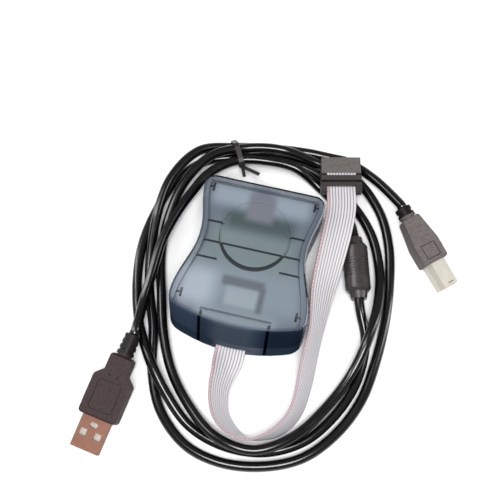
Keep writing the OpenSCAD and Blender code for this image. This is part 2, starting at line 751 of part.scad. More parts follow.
// Square plug, laid out like the flat one
module at_square() {
    translate(square_at) rotate([0, 0, square_turn]) rotate([square_tip, 0, 0]) children();
}

square_wall = 0.4;
square_inner_w = square_w - 2 * square_wall;
square_inner_h = square_h - 2 * square_wall;
square_cut = 1.7;
square_hidden = 4;
slot_in = 1.3;
slot_x = 1;
slot_size = [2.6, 0.5, square_h];
core_in = 1.9;
core_gap = 0.15;
core_slot_w = tongue_w + 2 * core_gap;
core_slot_h = tongue_h + 2 * contact_t + 2 * core_gap;
core_slot_l = tongue_l + 1;
square_contact = [1, 6.5, 0.12];

module square_plug_shell() {
    color("#e3dfcf") at_square() difference() {
        square_bar(square_w, square_h, square_cut, -square_out, square_hidden);
        square_bar(square_inner_w, square_inner_h, square_cut, -2 * square_out, 2 * square_hidden);
        block(slot_size, [slot_x, slot_in - square_out, 0]);
    }
}

// Insulator with the slot that takes the socket's tongue
module square_plug_core() {
    color("white") at_square() difference() {
        square_bar(square_inner_w, square_inner_h, square_cut, core_in - square_out, square_hidden);
        block([core_slot_w, 2 * core_slot_l, core_slot_h], [0, core_in - square_out, -core_slot_h / 2]);
    }
}

module square_plug_contacts() {
    middle_y = core_in + 1 + square_contact.y / 2 - square_out;
    rows = [core_slot_h / 2 - square_contact.z, -core_slot_h / 2];
    color("goldenrod") at_square() for (x = contact_x, z = rows)
        block(square_contact, [x, middle_y, z]);
}

square_grip_w = 11.2;
square_back_w = 7.6;
square_back_h = 8;
square_taper = 9;
square_round = 1;
square_mark = 5.2;
square_mark_y = 5;
square_mark_round = 0.6;

module square_grip_side(front, back) {
    offset(r = square_round) offset(delta = -square_round) polygon([[0, -front / 2],
        [square_taper, -front / 2], [square_grip_l, -back / 2], [square_grip_l, back / 2],
        [square_taper, front / 2], [0, front / 2]]);
}

module square_plug_grip() {
    color("#57524d") at_square() difference() {
        union() {
            intersection() {
                translate([0, 0, -square_grip_h]) linear_extrude(2 * square_grip_h)
                    rotate(90) square_grip_side(square_grip_w, square_back_w);
                rotate([90, 0, 90]) translate([0, 0, -square_grip_w]) linear_extrude(2 * square_grip_w)
                    square_grip_side(square_grip_h, square_back_h);
            }
            translate([0, square_grip_l - EPS, 0])
                strain_relief(square_relief + EPS, square_relief_ribs, square_relief_d);
        }
        square_bar(square_w, square_h, square_cut, -1, square_hidden);
        lead_hole(square_end - hold, square_end + 1);
        translate([0, square_mark_y, square_grip_h / 2])
            sunk_outline([square_mark, square_mark], square_mark_round);
    }
}

// Noise filter: a ferrite core moulded into a sleeve on the lead
core_l = 17;
sleeve_wall = 1.2;
core_d = filter_d - 2 * sleeve_wall;
cuff_l = 3;
cuff_wall = 1.3;
cuff_flare = 0.5;
shoulder = [0.9, 1.2];
rings = 7;
ring_pitch = 1.2;
ring_cut = [0.35, 0.5];

module at_filter() {
    translate(filter_mid) rotate([0, 0, atan2(filter_dir.y, filter_dir.x)]) rotate([0, 90, 0]) children();
}

module filter_core() {
    color("#3c3d40") at_filter() difference() {
        cylinder(d = core_d, h = core_l, center = true);
        cylinder(d = lead_d + 2 * hole_gap, h = 2 * core_l, center = true);
    }
}

module filter_sleeve() {
    r = filter_d / 2;
    end_r = lead_d / 2 + cuff_wall;
    half = filter_l / 2;
    cuff_z = half - cuff_l;
    upper = [[end_r, half], [end_r + cuff_flare, cuff_z], [r - shoulder.x, cuff_z], [r, cuff_z - shoulder.y]];
    lower = [for (k = [len(upper) - 1 : -1 : 0]) [upper[k].x, -upper[k].y]];
    color("#1d1e21") at_filter() difference() {
        rotate_extrude($fn = 36) polygon(concat([[0, half]], upper, lower, [[0, -half]]));
        cylinder(d = core_d, h = core_l, center = true);
        cylinder(d = lead_d + 2 * hole_gap, h = 2 * filter_l, center = true);
        for (k = [0 : rings - 1]) translate([0, 0, (k - (rings - 1) / 2) * ring_pitch]) difference() {
            cylinder(r = r + 1, h = ring_cut.y, center = true);
            cylinder(r = r - ring_cut.x, h = 1, center = true);
        }
    }
}

module usb_lead() {
    color("#141416") sweep([for (k = [0 : len(lead_route) - 1])
        round_ring(lead_route[k], way(lead_route, k), lead_d / 2, 8)]);
}

// Twist tie: a flat band drawn round the turns of the lead, each turn [across, height],
// with two loose tails, each [turn, length]
tie_at = [-17.2, 52.7];
tie_turn = 29.9;
tie_w = 2.2;
tie_t = 0.6;
tie_gap = 0.5;
tie_reach = lead_d / 2 + tie_gap;
bundle = [[-4.4, 6.7], [-1.4, 2.9], [1.25, 7.6], [4.3, 3.15]];
tail_w = 1.4;
tail_y = bundle[0][0] - tie_reach - tie_t / 2;
tail_z = bundle[0][1] - tie_t;
tail_rise = 68;
tails = [[-9, 6], [38, 9.5]];

module tie_loop(grow) {
    hull() for (at = bundle)
        translate([-at[0], max(at[1] - tie_t, tie_reach)]) circle(tie_reach + grow, $fn = 12);
}

module twist_tie() {
    color("#19191b") translate([tie_at.x, tie_at.y, tie_t]) rotate([0, 0, tie_turn]) {
        translate([tie_w / 2, 0, 0]) rotate([90, 0, -90]) linear_extrude(tie_w) difference() {
            tie_loop(tie_t);
            tie_loop(0);
        }
        for (tail = tails) translate([0, tail_y, tail_z]) rotate([0, 0, tail[0]])
            rotate([tail_rise, 0, 0]) block([tail_w, tie_t, tail[1]], [0, 0, 0]);
    }
}

bottom_shell();
top_shell();
circuit_board();
usb_socket_can();
usb_socket_tongue();
usb_socket_contacts();
box_header();
header_pins();
inner_socket_body();
inner_socket_cover();
controller_chip();
chip_leads();
crystal();
regulator();
reservoir_capacitor();
chip_capacitors();
chip_resistors();
status_leds();
ribbon_lead();
outer_socket_body();
outer_socket_cover();
outer_socket_clip();
outer_socket_contacts();
flat_plug_shell();
flat_plug_tongue();
flat_plug_contacts();
flat_plug_grip();
square_plug_shell();
square_plug_core();
square_plug_contacts();
square_plug_grip();
filter_core();
filter_sleeve();
usb_lead();
twist_tie();
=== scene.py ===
import math
import bpy
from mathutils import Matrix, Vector


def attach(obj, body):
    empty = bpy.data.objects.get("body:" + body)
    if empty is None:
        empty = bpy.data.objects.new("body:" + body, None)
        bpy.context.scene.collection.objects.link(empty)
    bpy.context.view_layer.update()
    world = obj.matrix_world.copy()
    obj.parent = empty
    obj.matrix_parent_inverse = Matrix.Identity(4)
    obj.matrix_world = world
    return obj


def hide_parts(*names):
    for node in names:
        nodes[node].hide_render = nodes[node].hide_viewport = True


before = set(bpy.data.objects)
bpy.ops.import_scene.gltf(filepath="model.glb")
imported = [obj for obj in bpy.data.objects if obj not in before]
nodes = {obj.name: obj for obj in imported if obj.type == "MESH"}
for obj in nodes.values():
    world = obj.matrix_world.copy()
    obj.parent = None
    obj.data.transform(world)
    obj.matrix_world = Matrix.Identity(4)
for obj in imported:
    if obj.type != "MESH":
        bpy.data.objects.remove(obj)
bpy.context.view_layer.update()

MM = 0.001
scene = bpy.context.scene
scene.view_settings.view_transform = "Standard"

# Camera: the photo's steep view from the front, slightly from the right
CAM_AZ, CAM_EL, CAM_DIST = 13.1, 71.5, 0.400
CAM_TARGET = Vector((-2.52, 13.27, 0)) * MM
CAM_SENSOR, CAM_LENS, CAM_CLIP = 36, 66.24, 0.01
az, el = math.radians(CAM_AZ), math.radians(CAM_EL)
cam_data = bpy.data.cameras.new("camera")
cam_data.sensor_width = CAM_SENSOR
cam_data.lens = CAM_LENS
cam_data.clip_start = CAM_CLIP
cam = bpy.data.objects.new("camera", cam_data)
cam_way = Vector((math.cos(el) * math.sin(az), -math.cos(el) * math.cos(az), math.sin(el)))
cam.location = CAM_TARGET + CAM_DIST * cam_way
cam.rotation_euler = (math.pi / 2 - el, 0, az)
scene.collection.objects.link(cam)
scene.camera = cam


# Material helpers
def new_mat(name):
    m = bpy.data.materials.new(name)
    m.use_nodes = True
    nt = m.node_tree
    return m, nt, nt.nodes["Principled BSDF"]


def link(nt, a, b):
    nt.links.new(a, b)


def add(nt, kind, **props):
    n = nt.nodes.new(kind)
    for k, v in props.items():
        setattr(n, k, v)
    return n


def lin(rgb):
    # screen colour of 0 to 255 as linear values
    shares = (v / 255 for v in rgb)
    return tuple(x / 12.92 if x <= 0.04045 else ((x + 0.055) / 1.055) ** 2.4 for x in shares)


def coords(nt):
    return add(nt, "ShaderNodeTexCoord").outputs["Object"]


def axes(nt, vector):
    n = add(nt, "ShaderNodeSeparateXYZ")
    link(nt, vector, n.inputs["Vector"])
    return n.outputs


def noise(nt, scale, detail=3.0):
    n = add(nt, "ShaderNodeTexNoise")
    n.inputs["Scale"].default_value = scale
    n.inputs["Detail"].default_value = detail
    link(nt, coords(nt), n.inputs["Vector"])
    return n.outputs["Fac"]


def ramp(nt, fac, a, b, low=0.35, high=0.65):
    r = add(nt, "ShaderNodeValToRGB")
    r.color_ramp.elements[0].position = low
    r.color_ramp.elements[1].position = high
    r.color_ramp.elements[0].color = (*a, 1)
    r.color_ramp.elements[1].color = (*b, 1)
    link(nt, fac, r.inputs["Fac"])
    return r.outputs["Color"]


def mapped(nt, fac, low, high):
    r = add(nt, "ShaderNodeMapRange")
    r.inputs["To Min"].default_value = low
    r.inputs["To Max"].default_value = high
    link(nt, fac, r.inputs["Value"])
    return r.outputs["Result"]


def maths(nt, operation, a, b=None):
    n = add(nt, "ShaderNodeMath", operation=operation)
    link(nt, a, n.inputs[0])
    if isinstance(b, (int, float)):
        n.inputs[1].default_value = b
    elif b is not None:
        link(nt, b, n.inputs[1])
    return n.outputs["Value"]


MIX_A, MIX_B, MIX_RESULT = 6, 7, 2  # the colour sockets of a mix node


def blend(nt, fac, a, rgb):
    n = add(nt, "ShaderNodeMix", data_type="RGBA")
    link(nt, fac, n.inputs["Factor"])
    link(nt, a, n.inputs[MIX_A])
    n.inputs[MIX_B].default_value = (*rgb, 1)
    return n.outputs[MIX_RESULT]


def smooth_step(nt, value, start, end, low, high):
    # low up to start, high from end on; start and end in millimetres
    r = add(nt, "ShaderNodeMapRange", interpolation_type="SMOOTHSTEP")
    r.inputs["From Min"].default_value = start * MM
    r.inputs["From Max"].default_value = end * MM
    r.inputs["To Min"].default_value = low
    r.inputs["To Max"].default_value = high
    link(nt, value, r.inputs["Value"])
    return r.outputs["Result"]


def patch(nt, centre, half, soft):
    # 1 over a box seen from above, falling to 0 over its soft border; sizes in millimetres
    xyz = axes(nt, coords(nt))
    sides = []
    for k in (0, 1):
        d = maths(nt, "ABSOLUTE", maths(nt, "SUBTRACT", xyz[k], centre[k] * MM))
        sides.append(smooth_step(nt, d, half[k], half[k] + soft, 1, 0))
    return maths(nt, "MULTIPLY", *sides)


def bump(nt, bsdf, height, distance, strength=1.0):
    b = add(nt, "ShaderNodeBump")
    b.inputs["Strength"].default_value = strength
    b.inputs["Distance"].default_value = distance
    link(nt, height, b.inputs["Height"])
    link(nt, b.outputs["Normal"], bsdf.inputs["Normal"])


ROUGH_VARY = 0.08


def surface(name, rgb, rough, metal=0.0, vary=0.12, scale=400, grain=0.00003, grain_scale=2500,
            specular=0.5):
    m, nt, p = new_mat(name)
    c = lin(rgb)
    a = tuple(v * (1 - vary) for v in c)
    b = tuple(min(v * (1 + vary), 1) for v in c)
    f = noise(nt, scale)
    link(nt, ramp(nt, f, a, b), p.inputs["Base Color"])
    low, high = max(rough - ROUGH_VARY, 0.02), min(rough + ROUGH_VARY, 1)
    link(nt, mapped(nt, noise(nt, scale * 0.6), low, high), p.inputs["Roughness"])
    p.inputs["Metallic"].default_value = metal
    p.inputs["Specular IOR Level"].default_value = specular
    if grain:
        bump(nt, p, noise(nt, grain_scale, 2.0), grain)
    return m


def paint(name, mat):
    o = nodes[name]
    o.data.materials.clear()
    o.data.materials.append(mat)
    return o


# Smooth curves through the route points
def spline(points, per):
    out = []
    n = len(points)
    for i in range(n - 1):
        p0, p1, p2, p3 = (points[max(i - 1, 0)], points[i], points[i + 1], points[min(i + 2, n - 1)])
        for k in range(per):
            t = k / per
            out.append(tuple(
                0.5 * (2 * b + (c - a) * t + (2 * a - 5 * b + 4 * c - d) * t * t
                       + (3 * b - a - 3 * c + d) * t ** 3)
                for a, b, c, d in zip(p0, p1, p2, p3)))
    out.append(tuple(points[-1]))
    return out


# USB lead: the route of the CAD tube, in millimetres, from the flat plug to the square one
LEAD_D = 4.2
LEAD_STEPS, LEAD_ROUND = 10, 5
LEAD_ROUTE = [
    (-40.36, -40.8, 8.29), (-39.89, -37.86, 8.68), (-39.42, -34.92, 9.07), (-39.8, -21.6, 7.5),
    (-39.4, -9, 8), (-39, 3.8, 8.5), (-36.4, 16.4, 8.8), (-32.2, 28.6, 8.5), (-26.8, 39.6, 8.4),
    (-16.8, 48.6, 6.7), (-4.8, 51.4, 6.7), (9.4, 51, 6.7), (22, 45.6, 2.5), (32.4, 37.4, 3.6),
    (39.95, 27.07, 5.4), (48.35, -2.77, 5.4), (54, -17, 2.1), (53.8, -34, 2.1), (48.2, -49.4, 2.1),
    (38, -63, 2.1), (23.4, -71, 2.3), (6.8, -72.4, 2.2), (-9, -67.8, 2.6), (-21.6, -57.2, 5.4),
    (-32, -44.4, 7.3), (-40.4, -30.2, 2.2), (-45.6, -14, 2.5), (-47.8, 3, 2.2), (-46, 19.2, 2.2),
    (-41, 35.2, 2.3), (-30, 47.4, 2.4), (-14.2, 52.2, 3), (2.4, 55.2, 2.7), (20.8, 51.6, 2.3),
    (35.2, 42.8, 2.3), (47, 30.2, 2.9), (53.8, 14.8, 3.5), (55.8, -1.4, 7.4), (54.4, -18.2, 8.7),
    (50.4, -34, 5.3), (42.8, -49.6, 4.6), (33, -63.2, 7), (18.8, -72, 7.7), (2.8, -70.2, 7.2),
    (-10.2, -60.8, 4), (-21.2, -48.2, 3.7), (-28.8, -33.2, 3.7), (-34, -16.8, 3.4), (-38.6, 0.2, 3),
    (-39.4, 16.8, 5.1), (-36.4, 33.4, 7.4), (-27.6, 48, 8.4), (-13, 55.6, 7.1), (2.6, 58, 7.1),
    (19.6, 56.8, 2.9), (35.6, 53.4, 3), (48.8, 41.2, 2.6), (56, 26.2, 2.3), (59.4, 9.4, 2.2),
    (60.6, -8, 2.1), (59.8, -25.8, 2.2), (57, -42.2, 2.2), (49.8, -57.4, 2.1), (38.4, -70, 2.2),
    (22.8, -77, 2.1), (6, -79, 2.1), (-9.4, -75.2, 2.1), (-22.2, -64.2, 2.1), (-29.6, -49, 2.1),
    (-33.6, -32.2, 2.1), (-39.6, -16, 2.9), (-43.2, 0.6, 3.9), (-44.4, 17.4, 6.8), (-42.4, 34.4, 8.1),
    (-33.8, 49.4, 7.3), (-19.2, 56.4, 3), (-4.2, 59.4, 2.8), (12, 61.2, 2.4), (29, 61.4, 2.2),
    (43.6, 54.8, 4.6), (56.18, 44.57, 8.48), (58.15, 42.33, 8.15), (60.13, 40.09, 7.82),
]
lead_top_y = max(p[1] for p in LEAD_ROUTE)
lead_path = [(x, min(y, lead_top_y), max(z, LEAD_D / 2))
             for x, y, z in spline(LEAD_ROUTE, LEAD_STEPS)]
lead_curve = bpy.data.curves.new("usb_lead_cord", "CURVE")
lead_curve.dimensions = "3D"
lead_curve.bevel_depth = LEAD_D / 2 * MM
lead_curve.bevel_resolution = LEAD_ROUND
lead_curve.use_fill_caps = True
line = lead_curve.splines.new("POLY")
line.points.add(len(lead_path) - 1)
for q, p in zip(line.points, lead_path):
    q.co = (p[0] * MM, p[1] * MM, p[2] * MM, 1)
line.use_smooth = True
lead = bpy.data.objects.new("usb_lead_cord", lead_curve)
scene.collection.objects.link(lead)
lead_curve.materials.append(surface("lead_black", (7, 6, 7), 0.16, vary=0.15, scale=120,
                                    grain=0.00001, grain_scale=900))
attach(lead, "base")
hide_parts("usb_lead")

# Ribbon: middle of the band and its roll; the first wire is red
WIRES, PITCH, RIBBON_T = 10, 1.27, 0.9
RIBBON_STEPS, LOBE_POINTS = 5, 5
LOBE_START, LOBE_SPAN = 0.12, 0.76  # part of a half circle that each lobe takes up
DASH = 1.7
RIBBON_ROUTE = [
    (0, -6.6, 15.95, 0), (0, -12.5, 15.95, 0), (0, -14.9, 15.95, 0), (0, -17.6, 14.31, 0),
    (0, -20.6, 11.4, 0), (0, -23.6, 7.98, 0), (0, -26.6, 5.07, 0), (0, -30, 3.55, 0), (0, -34.5, 3.3, 0),
    (0, -39, 3.6, 14), (-0.4, -44.5, 4.2, 38), (-0.6, -49.8, 4.7, 48), (0.5, -56.1, 5.3, 53),
    (2.9, -61.4, 5.8, 57), (7.2, -65.4, 6.2, 64), (11.4, -67.5, 6.5, 73), (16.4, -67.9, 6.7, 83),
    (21.7, -65.7, 6.8, 94), (26.6, -62, 6.8, 105), (30.1, -57.2, 6.8, 111), (32.2, -51.2, 6.8, 116),
    (32.8, -43.9, 6.8, 120), (32.8, -36.1, 6.8, 123), (32.8, -27.4, 6.9, 121), (33, -18.6, 7.2, 121),
    (32.6, -10, 7.9, 132), (32.2, -1.4, 9.2, 144), (32.4, 7.1, 10.8, 154), (32.6, 15.8, 12.2, 163),
    (32.8, 23.9, 12.8, 170), (32.8, 31.3, 12.3, 173), (32.3, 37.2, 11, 176), (31.15, 42.85, 9.4, 180),
    (30.48, 45.77, 9.1, 180), (30.1, 47.43, 9.1, 180)]
ribbon_path = spline(RIBBON_ROUTE, RIBBON_STEPS)


def ribbon_section():
    # (across, thick, wire): ten lobes over and under
    top = []
    for w in range(WIRES):
        x0 = (w - (WIRES - 1) / 2) * PITCH
        for k in range(LOBE_POINTS):
            a = math.pi * (LOBE_START + LOBE_SPAN * k / (LOBE_POINTS - 1))
            top.append((x0 - math.cos(a) * PITCH / 2, math.sin(a) * RIBBON_T / 2, w))
    return top + [(x, -t, w) for x, t, w in reversed(top)]


# Ribbon skin: pale wires with painted shade in the grooves between them; the first wire carries red
# dashes
def ribbon_skin(name, ridge, groove_shade, dash=None):
    m, nt, p = new_mat(name)
    uv = axes(nt, add(nt, "ShaderNodeTexCoord").outputs["UV"])
    off_middle = maths(nt, "SUBTRACT", maths(nt, "FRACT", uv["X"]), 0.5)
    edge = maths(nt, "MULTIPLY", maths(nt, "ABSOLUTE", off_middle), 2.0)
    # painted shade: the colour darkens from each wire's middle towards the grooves beside it
    colour = ramp(nt, edge, lin(ridge), lin(groove_shade), 0.45, 0.98)
    if dash:
        gap = maths(nt, "FRACT", maths(nt, "DIVIDE", uv["Y"], DASH))
        colour = blend(nt, ramp(nt, gap, (1, 1, 1), (0, 0, 0), 0.52, 0.6), colour, lin(dash))
    link(nt, colour, p.inputs["Base Color"])
    link(nt, mapped(nt, noise(nt, 700), 0.36, 0.5), p.inputs["Roughness"])
    return m


RIBBON_PALE = ribbon_skin("ribbon_grey", (198, 196, 199), (118, 116, 121))
RIBBON_RED = ribbon_skin("ribbon_red", (192, 182, 187), (124, 112, 118), dash=(180, 144, 151))


def ribbon_object(name, rings, section, along):
    m = len(section)
    faces, wires, uvs = [], [], []
    for i in range(len(rings) - 1):
        for j in range(m):
            k = (j + 1) % m
            w = min(section[j][2], section[k][2])
            faces.append((i * m + j, i * m + k, (i + 1) * m + k, (i + 1) * m + j))
            wires.append(w)
            u, v = (section[q][0] / PITCH + WIRES / 2 for q in (j, k))
            uvs += [(u, along[i]), (v, along[i]), (v, along[i + 1]), (u, along[i + 1])]
    # end caps
    for ring, start in ((range(m - 1, -1, -1), 0), (range(m), (len(rings) - 1) * m)):
        faces.append(tuple(start + j for j in ring))
        wires.append(1)
        uvs += [(section[j][0] / PITCH + WIRES / 2, 0) for j in ring]
    mesh = bpy.data.meshes.new(name)
    mesh.from_pydata([v * MM for ring in rings for v in ring], [], faces)
    mesh.polygons.foreach_set("use_smooth", [True] * len(faces))
    mesh.materials.append(RIBBON_PALE)
    mesh.materials.append(RIBBON_RED)
    mesh.polygons.foreach_set("material_index", [1 if w == 0 else 0 for w in wires])
    layer = mesh.uv_layers.new(name="across")
    layer.data.foreach_set("uv", [c for uv in uvs for c in uv])
    mesh.update()
    o = bpy.data.objects.new(name, mesh)
    scene.collection.objects.link(o)
    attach(o, "base")
    return o


section = ribbon_section()
rings, along, run = [], [], 0.0
for i, p in enumerate(ribbon_path):
    a, b = ribbon_path[max(i - 1, 0)], ribbon_path[min(i + 1, len(ribbon_path) - 1)]
    t = Vector((b[0] - a[0], b[1] - a[1], b[2] - a[2])).normalized()
    left = Vector((0, 0, 1)).cross(t).normalized()
    up = t.cross(left)
    r = math.radians(p[3])
    across = math.cos(r) * left - math.sin(r) * up
    thick = math.cos(r) * up + math.sin(r) * left
    rings.append([Vector(p[:3]) + x * across + h * thick for x, h, w in section])
    run += math.dist(p[:3], ribbon_path[max(i - 1, 0)][:3])
    along.append(run)
ribbon = ribbon_object("ribbon_cord", rings, section, along)
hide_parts("ribbon_lead")

# End of the ribbon folded round the cover of the outer socket, its cut wire ends showing on top
OUTER_AT, OUTER_TURN, OUTER_Z = Vector((29.4, 50.5, 0)), math.radians(12.9), 9.1
FOLD = [(-3.1, 0.3), (-3.1, -2.8), (-2.9, -3.25), (-2.5, -3.45), (-0.6, -3.45), (-0.2, -3.25),
        (0, -2.8), (0, 3.3)]
FOLD_NARROW = 0.992
out_x = Vector((math.cos(OUTER_TURN), math.sin(OUTER_TURN), 0))
out_y = Vector((-math.sin(OUTER_TURN), math.cos(OUTER_TURN), 0))
rings = []
for i, (y, z) in enumerate(FOLD):
    (y0, z0), (y1, z1) = FOLD[max(i - 1, 0)], FOLD[min(i + 1, len(FOLD) - 1)]
    size = math.hypot(y1 - y0, z1 - z0)
    dy, dz = (y1 - y0) / size, (z1 - z0) / size
    middle = OUTER_AT + out_y * y + Vector((0, 0, OUTER_Z + z))
    outward = out_y * -dz + Vector((0, 0, dy))
    rings.append([middle - out_x * (x * FOLD_NARROW) + outward * h for x, h, w in section])
fold = ribbon_object("ribbon_fold", rings, section, [0.0] * len(FOLD))


# Casing: smoky see-through plastic; each face takes a skin by the part of the moulding it is in.
# The outline's sizes are the source's, in millimetres
WAIST_W, WAIST_Y = 45, 9
REAR_W, REAR_CORNER, REAR_Y = 51.5, 29.55, 34.15
FRONT_W, FRONT_CORNER = 57, -23.3
NOSE_R, NOSE_CENTRE, NOSE_LEAN, NOSE_FOOT, NOSE_H = 68.6, 34.45, 5.5, 1.4, 20.6
WALL = 2.4
RING_Y, RING_R = 12.2, 14.5


def half_width(y):
    end, corner = (REAR_W, REAR_CORNER) if y > WAIST_Y else (FRONT_W, FRONT_CORNER)
    share = min(abs(y - WAIST_Y) / abs(corner - WAIST_Y), 1)
    return (WAIST_W + (end - WAIST_W) * (1 - math.cos(math.pi * share)) / 2) / 2


def nose_y(x, z):
    lean = NOSE_LEAN * max(z - NOSE_FOOT, 0) / NOSE_H
    return NOSE_CENTRE - math.sqrt(NOSE_R ** 2 - x * x) + lean


def inside(c):
    return abs(c.x) < half_width(c.y) - WALL and nose_y(c.x, c.z) + WALL < c.y < REAR_Y - WALL


def top_edge(n):
    # the rear fillet gets near-black painted shade
    if n.y > 0.15:
        return "shaded_rear_edge"
    # the right fillet gets a pale painted highlight
    if n.x > 0.35 and n.y > -0.25:
        return "highlit_right_edge"
    return "edge" if n.y > -0.5 else "nose"


# Heights that tell the parts of the shells apart
DECK_Z, EDGE_Z, CEILING_Z, WINDOW_Z, RIM_Z = 21, 20.9, 18.5, 13, 5
# The ring is deep in front of this line and shallow behind it
RING_DEEP_Y = 5.9


def top_part(c, n):
    if n.z > 0.995 and c.z > DECK_Z:
        return "deck"
    if c.z > EDGE_Z and n.z > 0.02:
        return top_edge(n)
    if n.z < -0.3 and c.z > CEILING_Z:
        return "ceiling"
    if inside(c):
        if abs(math.hypot(c.x, c.y - RING_Y) - RING_R) < 1 and c.y > RING_DEEP_Y:
            return "ghost"
        return "faint_rib" if c.y < -18 or (c.y < -10 and abs(c.x) > 16) else "rib"
    if n.z < -0.9:
        return "contact" if c.z < WINDOW_Z else "rim"
    if n.x * c.x + n.y * c.y > 0:
        return "nose" if n.y < -0.5 else "shaded_flank"
    return "lining"


def bottom_part(c, n):
    if n.z > 0.9:
        if c.z > RIM_Z:
            return "rim"
        return "floor" if c.y > nose_y(c.x, c.z) + WALL else "shaded_chin"
    if n.z < -0.9:
        return "underside"
    if n.x * c.x + n.y * c.y > 0:
        return "shaded_chin" if n.y < -0.5 else "shaded_flank"
    return "lining"


def disc(nt, y, radius):
    # 1 inside a circle about (0, y) seen from above
    v = add(nt, "ShaderNodeMapping")
    v.inputs["Location"].default_value = (0, -y * MM, 0)
    v.inputs["Scale"].default_value = (1, 1, 0)
    link(nt, coords(nt), v.inputs["Vector"])
    size = add(nt, "ShaderNodeVectorMath", operation="LENGTH")
    link(nt, v.outputs["Vector"], size.inputs[0])
    return maths(nt, "LESS_THAN", size.outputs["Value"], radius * MM)


def crescent(nt):
    # 1 in the clear crescent in front of the ring's deep half
    shifted = disc(nt, RING_Y - 1.0, RING_R + 0.4)
    return maths(nt, "GREATER_THAN", shifted, disc(nt, RING_Y, RING_R + 0.3))


def border(nt):
    # 1 over the side and rear walls, whose depth makes the plastic look denser from above
    xyz = axes(nt, coords(nt))
    forward = maths(nt, "MULTIPLY", xyz["Y"], -1)
    rear = smooth_step(nt, xyz["Y"], WAIST_Y, REAR_CORNER, 0, (REAR_W - WAIST_W) / 2 * MM)
    front = smooth_step(nt, forward, -WAIST_Y, -FRONT_CORNER, 0, (FRONT_W - WAIST_W) / 2 * MM)
    off_waist = maths(nt, "SUBTRACT", maths(nt, "ABSOLUTE", xyz["X"]), maths(nt, "ADD", rear, front))
    side = maths(nt, "GREATER_THAN", off_waist, (WAIST_W / 2 - WALL) * MM)
    return maths(nt, "MAXIMUM", side, maths(nt, "GREATER_THAN", xyz["Y"], (REAR_Y - WALL) * MM))


SKIN_VARY, SKIN_SCALE = 0.06, 60


def skin(name, rgb, alpha, rough, patches=(), specular=0.25, clear=0.0, dense=0.0):
    # clear: alpha in the crescent; dense: alpha over the walls
    m, nt, p = new_mat(name)
    c = lin(rgb)
    colour = ramp(nt, noise(nt, SKIN_SCALE, 2.0), tuple(v * (1 - SKIN_VARY) for v in c),
                  tuple(v * (1 + SKIN_VARY) for v in c))
    for centre, half, soft, tint in patches:
        colour = blend(nt, patch(nt, centre, half, soft), colour, lin(tint))
    link(nt, colour, p.inputs["Base Color"])
    link(nt, mapped(nt, noise(nt, 160), rough - 0.04, rough + 0.06), p.inputs["Roughness"])
    p.inputs["Alpha"].default_value = alpha
    if clear:
        link(nt, mapped(nt, crescent(nt), alpha, clear), p.inputs["Alpha"])
    if dense:
        link(nt, mapped(nt, border(nt), alpha, dense), p.inputs["Alpha"])
    p.inputs["Specular IOR Level"].default_value = specular
    bump(nt, p, noise(nt, SKIN_SCALE, 1.0), 0.00003)
    return m


# Soft tones of the top, which stand for the blurred sight of the inside, and two SHADE patches of
# painted shadow from the inner socket: centre, half size, soft border and colour, in millimetres seen
# from above
PALE, GREEN, MOSS, HAZE = (126, 137, 147), (72, 84, 87), (113, 125, 129), (112, 115, 125)
SHADE, LIGHT, REAR, BRIGHT = (98, 104, 112), (140, 151, 159), (138, 150, 161), (158, 168, 179)
CLOUDS = [
    ((0, -9), (20, 6), 12, PALE), ((0, -27), (14, 4), 6, PALE), ((-19, -14), (3, 3), 9, BRIGHT),
    ((0, 6), (14, 4), 10, MOSS), ((1, 17.2), (11, 0.8), 7, GREEN),
    ((-13, 27), (5, 1), 7, REAR), ((12, 27), (5, 1), 7, REAR), ((0, 24), (3.6, 4), 4, HAZE),
    # painted shadow of the inner socket: a dark bar across the pocket and a thin dark line at its right
    # side
    ((0, -9.4), (7.6, 1), 2.2, SHADE), ((8.4, -15), (0.2, 4.5), 2, SHADE),
    ((0.2, -15.4), (5.4, 2.8), 2.2, LIGHT)]
# Dark bars where the pocket's side walls meet the nose, and the nose's painted light and shade: lighter
# patches in the middle and at the left, a darker one at the right
BARS = [((x, -30), (0.5, 12), 0.3, (3, 4, 7)) for x in (-14.1, 14.1)]
NOSE_LIGHT_AND_SHADE = [((0, -34), (5, 8), 8, (60, 70, 83)), ((-21, -30), (3, 12), 7, (47, 59, 76)),
              ((22, -30), (5, 12), 7, (24, 33, 47))]
